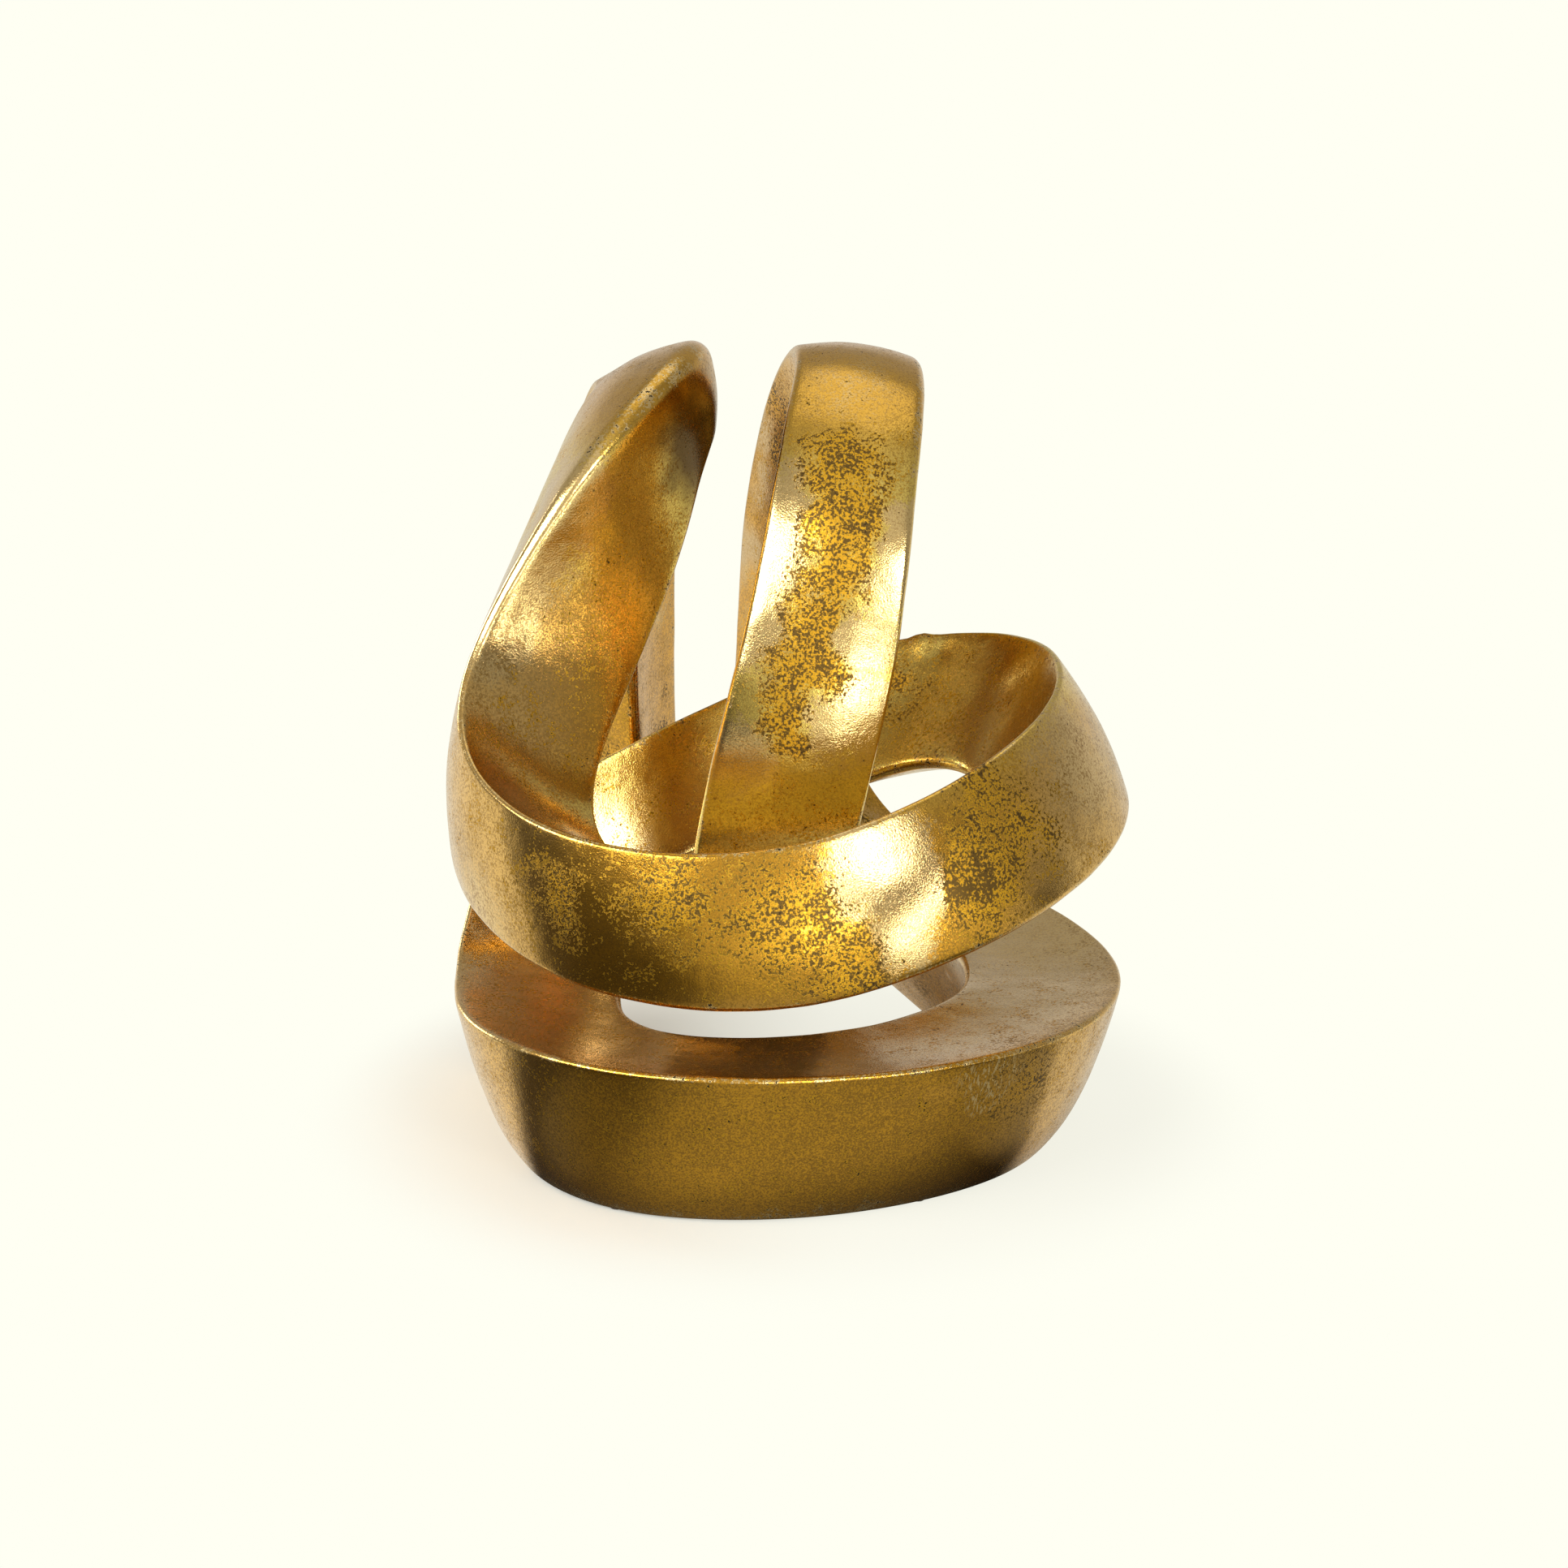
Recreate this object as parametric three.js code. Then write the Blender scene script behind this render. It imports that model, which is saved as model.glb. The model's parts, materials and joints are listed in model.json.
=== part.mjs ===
// Endless knot sculpture: one three-sided band of gold-leafed resin, cast in seven lengths that are
// pegged end to end with steel dowels, standing on four felt dots.
// Millimetres, +Z up. The origin is on the floor, under the middle of the knot's bounding box.

import * as THREE from 'three';

// Route of the band's centre line
const ringRadius = 92; // the base and the middle ring, seen from above
const baseLevel = 33; // round the base
const ringLevel = 135; // middle ring, at its highest
const crownLevel = 250; // tops of the two upright loops

// Three-sided section of the band
const bandWidth = 53.5; // across the broad face
const bandDepth = 50; // from the broad face to the keel opposite
const keelShare = 2 / 3; // share of the depth on the keel's side of the centre line
const rimRound = 1.6; // crisp outer rim of the broad face
const innerRound = 3; // inner rim of the broad face
const innerSoftShare = 0.4; // share of the outer rim's softening that the inner rim takes
const keelRound = 3; // keel
const faceDish = 1.5; // hollow of the broad face
const outerSwell = 2.5; // bulge of the face from the keel to the rim
const innerSwell = 0.8; // bulge of the face from the inner rim to the keel
const crownSwell = 0.5; // how far the broad face swells for each millimetre that its rim softens
const footSink = 10; // how far the base's keel would reach into the floor before it is ground flat

// Pegged seams
const seamGap = 0.3;
const dowelDiameter = 6;
const dowelLength = 40;
const dowelSpacing = 20;
const dowelRaise = 4; // from the section's middle towards the broad face
const dowelChamfer = 0.6;
const dowelFit = 0.3; // clearance round a dowel
const dowelEndFit = 1; // clearance past its end

// Felt dots
const padDiameter = 5;
const padThickness = 0.6;
const padGlue = 0.2;
const padInset = 1.5; // towards the eye of the base from the middle of the ground flat

// Fineness of the facets
const ringCount = 176;
const smoothingPasses = 3;
const arcPoints = 5;
const facePoints = 3;
const dowelSides = 12;
const padSides = 24;

const gold = { color: 0xc08a2c, roughness: 0.36, metalness: 0.9 };
const steel = { color: 0x9da0a4, roughness: 0.4, metalness: 1 };
const felt = { color: 0x3a322a, roughness: 1, metalness: 0 };

// The keel of the base is deepened until it meets the floor.
const footDeeper = (baseLevel + footSink) / keelShare - bandDepth;

// Spots on the centre line: round a ring by its angle from +X, or on an upright below the crowns.
function onBase(degrees, outward, lift) {
  const angle = THREE.MathUtils.degToRad(degrees);
  const radius = ringRadius + outward;
  return new THREE.Vector3(radius * Math.cos(angle), radius * Math.sin(angle), baseLevel + lift);
}

function onRing(degrees, outward, drop) {
  return onBase(degrees, outward, ringLevel - baseLevel - drop);
}

function onLoop(x, y, drop) {
  return new THREE.Vector3(x, y, crownLevel - drop);
}

function overFloor(x, y, lift) {
  return new THREE.Vector3(x, y, baseLevel + lift);
}

// A station: its spot, where the broad face looks, and how much wider and deeper than the driving section
// the band is and how much softer its rim. A station of the base may have a felt dot under its keel.
function station(spot, looks, wider, deeper, softer = 0, pad = null) {
  return { spot, looks: new THREE.Vector3(...looks).normalize(), wider, deeper, softer, pad };
}

// The lengths that the band is cast in. Each starts with a seam at its first station.
const castings = [
  {
    name: 'base_section',
    stations: [
      station(onBase(33, -3, 3), [-0.12, -0.05, 0.97], -8, footDeeper + 5),
      station(onBase(17, -2, 1), [-0.08, -0.03, 0.98], -3, footDeeper + 5, 0, 'pad_right'),
      station(onBase(0, -1, 0), [-0.04, 0, 1], 3, footDeeper + 2),
      station(onBase(-28, -0.5, 1), [-0.02, 0.02, 1], 3, footDeeper + 1),
      station(onBase(-58, -6, 0), [-0.03, 0.06, 1], 3, footDeeper, 0, 'pad_front_right'),
      station(onBase(-92, -4, 0), [0, 0.1, 1], 3, footDeeper),
      station(onBase(-123, 4, 0), [0.08, 0.1, 1], 4, footDeeper, 0, 'pad_front_left'),
      station(onBase(-151, 3, 0), [0.09, 0.05, 1], 6, footDeeper),
      station(onBase(-175, -6, 0), [0.1, 0, 1], 6, footDeeper + 2),
      station(onBase(167, 2, 1), [0.2, -0.1, 0.96], 6, footDeeper + 10, 0, 'pad_left'),
    ],
  },
  {
    name: 'climb_section',
    stations: [
      station(onBase(155, 15, 16), [0.48, -0.25, 0.84], 2, 11),
      station(onBase(142, 5, 38), [0.5, -0.5, 0.7], 0, -1),
      station(onRing(124, -27, 39), [0.3, -0.65, 0.7], 0, -1),
      station(onRing(90, -36, 22), [0, -0.75, 0.66], 0, 0),
    ],
  },
  {
    name: 'ring_section',
    stations: [
      station(onRing(55, -22, 9), [-0.3, -0.7, 0.64], 2, 0),
      station(onRing(26, -7, 1), [-0.7, -0.4, 0.58], 3, 0),
      station(onRing(-1, 1, 0), [-0.84, 0.05, 0.54], 1, 0),
      station(onRing(-28, 1, 9), [-0.63, 0.44, 0.62], 1, 0),
      station(onRing(-58, -4, 23), [-0.3, 0.6, 0.74], 0, -1),
      station(onRing(-90, -5, 35), [0, 0.58, 0.81], -2, -1),
      station(onRing(-120, 1, 35), [0.25, 0.5, 0.82], -3, -3),
      station(onRing(-145, 5, 28), [0.5, 0.2, 0.84], 0, -6),
    ],
  },
  {
    name: 'left_loop',
    stations: [
      station(onRing(-168, 6, 11), [0.6, -0.3, 0.72], 5, 0),
      station(onLoop(-86.5, 6, 93), [0.5, -0.65, 0.45], 8, 4, 1),
      station(onLoop(-68.5, 19.5, 50.5), [0.56, -0.82, -0.05], 11, 3, 2),
      station(onLoop(-52.5, 27, 18), [0.74, -0.66, -0.1], 8, -3, 4),
      station(onLoop(-37, 49, -1.5), [0.97, -0.22, 0.08], -13, -3, 6),
      station(onLoop(-46, 83, 14.5), [0.97, -0.26, 0.06], -12, -6, 4),
      station(onLoop(-59, 98, 55), [0.95, -0.32, 0], -9, -7),
    ],
  },
  {
    name: 'hook_section',
    stations: [
      station(onLoop(-61, 103, 110), [0.95, -0.32, 0], -8, -7),
      station(onLoop(-60, 112, 160), [0.95, -0.3, 0.1], -10, -8),
      station(overFloor(-53, 104, 14), [0.95, -0.1, 0.2], -13, -11),
      station(overFloor(-37, 66, 5), [0.95, 0, 0.3], -13, -11),
      station(overFloor(-19, 18, 22), [0.95, 0.2, 0.3], -7, -5),
    ],
  },
  {
    name: 'right_loop',
    stations: [
      station(onLoop(-6, -10, 160), [0.9, 0.35, 0.2], -1, -1),
      station(onLoop(2, -16, 120), [0.9, 0.4, 0], 0, 0),
      station(onLoop(14, -14, 70), [0.9, 0.42, 0], -2, -2),
      station(onLoop(23, 4, 20), [0.88, 0.3, -0.35], -4, -5, 2),
      station(onLoop(26, 42, -1), [0.79, 0, -0.62], -5, -7, 3),
      station(onLoop(18, 82, 16), [0.87, -0.35, -0.3], -6, -6, 1),
      station(onLoop(8, 103, 65), [0.87, -0.5, 0], -5, -5),
    ],
  },
  {
    name: 'ramp_section',
    stations: [
      station(onLoop(6, 110, 120), [0.87, -0.5, 0], -4, -4),
      station(onLoop(4, 114, 166), [0.8, -0.5, 0.3], -6, -4),
      station(overFloor(35, 100, 14), [0.2, -0.4, 0.9], -5, -2),
    ],
  },
];

// Outline of the section, anticlockwise from its rim: x across the broad face, y towards it.
function sectionOutline(width, depth, softer) {
  const face = depth * (1 - keelShare);
  const hollow = faceDish - softer * crownSwell;
  const inner = innerRound + softer * innerSoftShare;
  const corners = [
    { at: new THREE.Vector2(width / 2, face), round: rimRound + softer, dish: hollow },
    { at: new THREE.Vector2(-width / 2, face), round: inner, dish: -innerSwell },
    { at: new THREE.Vector2(0, face - depth), round: keelRound, dish: -outerSwell },
  ];
  for (const [i, corner] of corners.entries()) {
    const toBefore = corners[(i + 2) % 3].at.clone().sub(corner.at).normalize();
    corner.along = corners[(i + 1) % 3].at.clone().sub(corner.at).normalize();
    const halfAngle = Math.acos(toBefore.dot(corner.along)) / 2;
    const inward = toBefore.clone().add(corner.along).normalize();
    corner.centre = corner.at.clone().addScaledVector(inward, corner.round / Math.sin(halfAngle));
    corner.middle = inward.negate().angle();
    corner.halfSweep = Math.PI / 2 - halfAngle;
  }
  const points = [];
  for (const [i, corner] of corners.entries()) {
    const next = corners[(i + 1) % 3];
    for (let k = 0; k < arcPoints; k += 1) {
      const angle = corner.middle + corner.halfSweep * ((2 * k) / (arcPoints - 1) - 1);
      const spoke = new THREE.Vector2(Math.cos(angle), Math.sin(angle)).multiplyScalar(corner.round);
      points.push(corner.centre.clone().add(spoke));
    }
    const outward = new THREE.Vector2(corner.along.y, -corner.along.x);
    const start = corner.centre.clone().addScaledVector(outward, corner.round);
    const end = next.centre.clone().addScaledVector(outward, next.round);
    for (let k = 1; k <= facePoints; k += 1) {
      const part = k / (facePoints + 1);
      const sunk = corner.dish * 4 * part * (1 - part);
      points.push(start.clone().lerp(end, part).addScaledVector(outward, -sunk));
    }
  }
  return points;
}

const stations = castings.flatMap((casting) => casting.stations);

// Rings at even steps along the closed route, eased so that the stations leave no kinks.
function eased(values) {
  const count = values.length;
  return values.map((value, i) => {
    const around = values[(i + 1) % count].clone().add(values[(i + count - 1) % count]);
    return around.addScaledVector(value, 2).multiplyScalar(1 / 4);
  });
}

const route = new THREE.CatmullRomCurve3(stations.map((s) => s.spot), true, 'centripetal');
const looks = new THREE.CatmullRomCurve3(stations.map((s) => s.looks), true, 'catmullrom');
const changes = stations.map((s) => new THREE.Vector3(s.wider, s.deeper, s.softer));
const sizes = new THREE.CatmullRomCurve3(changes, true, 'catmullrom');
const stepsPerStation = 50;
route.arcLengthDivisions = stations.length * stepsPerStation;

let spots = [];
let facings = [];
let swells = [];
for (let i = 0; i < ringCount; i += 1) {
  const t = route.getUtoTmapping(i / ringCount);
  spots.push(route.getPoint(t));
  facings.push(looks.getPoint(t));
  swells.push(sizes.getPoint(t));
}
for (let pass = 0; pass < smoothingPasses; pass += 1) {
  spots = eased(spots);
  facings = eased(facings);
  swells = eased(swells);
}

const floorFlat = padThickness + padGlue;

const rings = spots.map((spot, i) => {
  const along = spots[(i + 1) % ringCount].clone().sub(spots[(i + ringCount - 1) % ringCount]).normalize();
  const up = facings[i].clone().addScaledVector(along, -facings[i].dot(along)).normalize();
  const across = up.clone().cross(along);
  const { x: wider, y: deeper, z: softer } = swells[i];
  const outline = sectionOutline(bandWidth + wider, bandDepth + deeper, softer);
  return { spot, along, up, across, outline };
});

// The ring nearest to a station, by its share of the route's length.
const routeLengths = route.getLengths();
const ringOfStation = stations.map((s, i) => {
  const share = routeLengths[i * stepsPerStation] / routeLengths.at(-1);
  return Math.round(share * ringCount) % ringCount;
});

// A point of a ring's plane, moved along the band by shift.
function inRing(ring, x, y, shift = 0) {
  const point = ring.spot.clone().addScaledVector(ring.across, x).addScaledVector(ring.up, y);
  return point.addScaledVector(ring.along, shift);
}

const dowelOffsets = [-dowelSpacing / 2, dowelSpacing / 2];
const dowelRadius = dowelDiameter / 2;

// One casting: a loft through its rings, with an end face at each seam and blind sockets in it.
function castingGeometry(firstRing, lastRing) {
  const points = [];
  const faces = [];
  const count = rings[0].outline.length;
  const add = (point) => points.push(point) - 1;
  const ringTotal = ((lastRing - firstRing + ringCount) % ringCount) + 1;

  for (let i = 0; i < ringTotal; i += 1) {
    const ring = rings[(firstRing + i) % ringCount];
    let shift = 0;
    if (i === 0) shift = seamGap / 2;
    if (i === ringTotal - 1) shift = -seamGap / 2;
    for (const { x, y } of ring.outline) {
      const point = inRing(ring, x, y, shift);
      point.z = Math.max(point.z, floorFlat);
      add(point);
    }
  }
  for (let i = 0; i + 1 < ringTotal; i += 1) {
    for (let j = 0; j < count; j += 1) {
      const next = (j + 1) % count;
      const [a, b, c, d] = [i * count + j, i * count + next, (i + 1) * count + next, (i + 1) * count + j];
      faces.push([a, b, c], [a, c, d]);
    }
  }

  function endFace(ring, firstPoint, inward) {
    const radius = dowelRadius + dowelFit;
    const depth = dowelLength / 2 + dowelEndFit;
    const ids = ring.outline.map((point, j) => firstPoint + j);
    const turn = (a, b, c) => faces.push(inward < 0 ? [a, b, c] : [c, b, a]);
    const holes = dowelOffsets.map((side) => {
      const hole = [];
      for (let k = 0; k < dowelSides; k += 1) {
        const angle = (2 * Math.PI * k) / dowelSides;
        hole.push(new THREE.Vector2(side + radius * Math.cos(angle), dowelRaise + radius * Math.sin(angle)));
      }
      return hole;
    });
    for (const hole of holes) {
      const mouth = hole.map(({ x, y }) => add(inRing(ring, x, y, (inward * seamGap) / 2)));
      const foot = hole.map(({ x, y }) => add(inRing(ring, x, y, inward * depth)));
      ids.push(...mouth);
      for (let k = 0; k < dowelSides; k += 1) {
        const next = (k + 1) % dowelSides;
        turn(mouth[k], mouth[next], foot[next]);
        turn(mouth[k], foot[next], foot[k]);
      }
      for (let k = 1; k + 1 < dowelSides; k += 1) turn(foot[0], foot[k], foot[k + 1]);
    }
    const triangles = THREE.ShapeUtils.triangulateShape(ring.outline, holes);
    for (const [a, b, c] of triangles) turn(ids[a], ids[b], ids[c]);
  }
  endFace(rings[firstRing], 0, 1);
  endFace(rings[lastRing], (ringTotal - 1) * count, -1);

  const geometry = new THREE.BufferGeometry().setFromPoints(points);
  geometry.setIndex(faces.flat());
  geometry.computeVertexNormals();
  return geometry;
}

function dowelGeometry() {
  const half = dowelLength / 2;
  const tip = dowelRadius - dowelChamfer;
  const profile = [
    [0, -half],
    [tip, -half],
    [dowelRadius, -half + dowelChamfer],
    [dowelRadius, half - dowelChamfer],
    [tip, half],
    [0, half],
  ];
  return new THREE.LatheGeometry(profile.map(([x, y]) => new THREE.Vector2(x, y)), dowelSides);
}

const knot = new THREE.Group();

function addMesh(name, geometry, look) {
  const mesh = new THREE.Mesh(geometry, new THREE.MeshStandardMaterial(look));
  mesh.name = name;
  knot.add(mesh);
  return mesh;
}

// Castings, and the two dowels in the seam that each starts with
let firstStation = 0;
for (const [i, casting] of castings.entries()) {
  const nextStation = (firstStation + casting.stations.length) % stations.length;
  const seamRing = rings[ringOfStation[firstStation]];
  addMesh(casting.name, castingGeometry(ringOfStation[firstStation], ringOfStation[nextStation]), gold);
  for (const [k, side] of dowelOffsets.entries()) {
    const dowel = addMesh(`dowel_${i + 1}${'ab'[k]}`, dowelGeometry(), steel);
    const sideways = seamRing.across.clone().cross(seamRing.along);
    dowel.quaternion.setFromRotationMatrix(
      new THREE.Matrix4().makeBasis(seamRing.across, seamRing.along, sideways),
    );
    dowel.position.copy(inRing(seamRing, side, dowelRaise));
  }
  firstStation = nextStation;
}

// Felt dots
for (const [i, { pad: name }] of stations.entries()) {
  if (!name) continue;
  const ring = rings[ringOfStation[i]];
  const outlinePoints = ring.outline.map(({ x, y }) => inRing(ring, x, y));
  const under = new THREE.Box3().setFromPoints(outlinePoints.filter((point) => point.z <= floorFlat))
    .getCenter(new THREE.Vector3())
    .addScaledVector(ring.across, -padInset);
  const disc = new THREE.CylinderGeometry(padDiameter / 2, padDiameter / 2, padThickness, padSides);
  const pad = addMesh(name, disc.rotateX(Math.PI / 2), felt);
  pad.position.set(under.x, under.y, padThickness / 2);
}

// The origin goes under the middle of the bounding box.
const middle = new THREE.Box3().setFromObject(knot).getCenter(new THREE.Vector3());
knot.position.set(-middle.x, -middle.y, 0);

export default knot;
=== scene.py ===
import json
import math
import bmesh
import bpy
import numpy as np
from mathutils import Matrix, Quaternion, Vector

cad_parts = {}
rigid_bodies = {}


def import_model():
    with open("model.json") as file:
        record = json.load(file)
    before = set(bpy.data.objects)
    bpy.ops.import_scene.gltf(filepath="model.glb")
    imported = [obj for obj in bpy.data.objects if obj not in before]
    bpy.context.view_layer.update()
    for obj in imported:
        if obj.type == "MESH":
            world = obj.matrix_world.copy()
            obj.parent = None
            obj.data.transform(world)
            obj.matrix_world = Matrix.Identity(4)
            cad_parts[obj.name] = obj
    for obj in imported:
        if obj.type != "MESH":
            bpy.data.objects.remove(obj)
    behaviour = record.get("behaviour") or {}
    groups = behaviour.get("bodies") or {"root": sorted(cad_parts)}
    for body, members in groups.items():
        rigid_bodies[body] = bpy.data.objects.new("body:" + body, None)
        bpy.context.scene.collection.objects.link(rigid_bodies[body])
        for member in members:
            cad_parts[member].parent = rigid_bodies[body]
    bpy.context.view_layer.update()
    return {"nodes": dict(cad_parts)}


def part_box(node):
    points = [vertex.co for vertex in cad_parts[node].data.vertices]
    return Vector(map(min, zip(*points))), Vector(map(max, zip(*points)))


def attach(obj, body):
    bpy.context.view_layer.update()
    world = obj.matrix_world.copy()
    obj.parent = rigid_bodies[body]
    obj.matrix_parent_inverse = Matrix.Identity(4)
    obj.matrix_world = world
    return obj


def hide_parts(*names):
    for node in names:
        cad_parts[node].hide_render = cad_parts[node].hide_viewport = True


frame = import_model()
print("frame loaded")


# Small helpers

def only(piece):
    bpy.ops.object.select_all(action="DESELECT")
    piece.select_set(True)
    bpy.context.view_layer.objects.active = piece


def applied(piece, kind, **settings):
    only(piece)
    bpy.ops.object.modifier_add(type=kind)
    added = piece.modifiers[-1]
    for name, value in settings.items():
        setattr(added, name, value)
    bpy.ops.object.modifier_apply(modifier=added.name)


def rowsOf(items, name):
    flat = np.empty(len(items) * 3)
    items.foreach_get(name, flat)
    return flat.reshape(-1, 3)


def pointsOf(mesh):
    return rowsOf(mesh.vertices, "co")


def editing(piece, pick="FACE"):
    only(piece)
    bpy.ops.object.mode_set(mode="EDIT")
    bpy.ops.mesh.select_mode(type=pick)


def finished():
    bpy.ops.object.mode_set(mode="OBJECT")


def copyOf(node, name):
    mesh = frame["nodes"][node].data.copy()
    mesh.materials.clear()
    piece = bpy.data.objects.new(name, mesh)
    bpy.context.scene.collection.objects.link(piece)
    return piece


# Shader arithmetic

halfway = 0.5          # the middle of a grain's range


def feed(tree, target, value):
    if isinstance(value, Wire):
        tree.links.new(value.end, target)
    else:
        target.default_value = value


def addNode(tree, kind, settings, inputs, out=0):
    made = tree.nodes.new(kind)
    for name, value in settings.items():
        setattr(made, name, value)
    for name, value in inputs.items():
        feed(tree, made.inputs[name], value)
    return Wire(tree, made.outputs[out])


class Wire:
    def __init__(self, tree, end):
        self.tree = tree
        self.end = end

    def maths(self, operation, *values):
        return addNode(self.tree, "ShaderNodeMath", {"operation": operation}, dict(enumerate(values)))

    def __add__(self, other):
        return self.maths("ADD", self, other)

    def __radd__(self, other):
        return self.maths("ADD", other, self)

    def __sub__(self, other):
        return self.maths("SUBTRACT", self, other)

    def __rsub__(self, other):
        return self.maths("SUBTRACT", other, self)

    def __mul__(self, other):
        return self.maths("MULTIPLY", self, other)

    def __rmul__(self, other):
        return self.maths("MULTIPLY", other, self)

    def __truediv__(self, other):
        return self.maths("DIVIDE", self, other)

    def __rtruediv__(self, other):
        return self.maths("DIVIDE", other, self)

    def larger(self, other):
        return self.maths("MAXIMUM", self, other)

    def rise(self, low, high):
        ends = {"Value": self, "From Min": low, "From Max": high}
        return addNode(self.tree, "ShaderNodeMapRange", {"interpolation_type": "SMOOTHSTEP"}, ends)

    def grain(self, size, detail=2.0, roughness=0.5):
        values = {"Vector": self, "Scale": 1.0 / size, "Detail": detail, "Roughness": roughness}
        return addNode(self.tree, "ShaderNodeTexNoise", {}, values)

    def part(self, axis):
        return addNode(self.tree, "ShaderNodeSeparateXYZ", {}, {"Vector": self}, out=axis)

    def awayFrom(self, place):
        ends = {0: self, 1: place}
        return addNode(self.tree, "ShaderNodeVectorMath", {"operation": "DISTANCE"}, ends, out="Value")

    def swirled(self, size, detail, amount):
        values = {"Vector": self, "Scale": 1.0 / size, "Detail": detail}
        swirl = addNode(self.tree, "ShaderNodeTexNoise", {}, values, out="Color")
        ends = {0: swirl, 1: (halfway, halfway, halfway)}
        swirl = addNode(self.tree, "ShaderNodeVectorMath", {"operation": "SUBTRACT"}, ends)
        ends = {0: swirl, 1: (2 * amount, 2 * amount, 2 * amount), 2: self}
        return addNode(self.tree, "ShaderNodeVectorMath", {"operation": "MULTIPLY_ADD"}, ends)

    def scaled(self, scale):
        ends = {0: self, 1: scale}
        return addNode(self.tree, "ShaderNodeVectorMath", {"operation": "MULTIPLY"}, ends)

    def drawnOut(self, wide, tall):
        return self.scaled((1.0 / wide, 1.0 / wide, 1.0 / tall)).grain(1.0)

    def blended(self, first, second):
        ends = {"Factor": self, 6: first, 7: second}          # 6, 7 and output 2 are its colours
        return addNode(self.tree, "ShaderNodeMix", {"data_type": "RGBA"}, ends, out=2)


def newMaterial(name):
    made = bpy.data.materials.new(name)
    made.use_nodes = True
    tree = made.node_tree
    return made, tree, tree.nodes["Principled BSDF"]


def objectPlace(tree):
    return addNode(tree, "ShaderNodeTexCoord", {}, {}, out="Object")


def seenAndMirrored(tree):     # marks the rays from the camera, and the mirrored rays
    rays = tree.nodes.new("ShaderNodeLightPath").outputs
    straight = Wire(tree, rays["Is Camera Ray"]).larger(Wire(tree, rays["Is Transmission Ray"]))
    return straight, Wire(tree, rays["Is Glossy Ray"])


# Aged gold leaf over the resin: amber glaze, burnished places that are also painted highlight, and patches
# rubbed to yellow and brown

# Painted light in the leaf colour: paler gold on the inner faces, taupe painted reflection, painted shade
# on the left crown, paler rims as painted rim highlight
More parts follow.
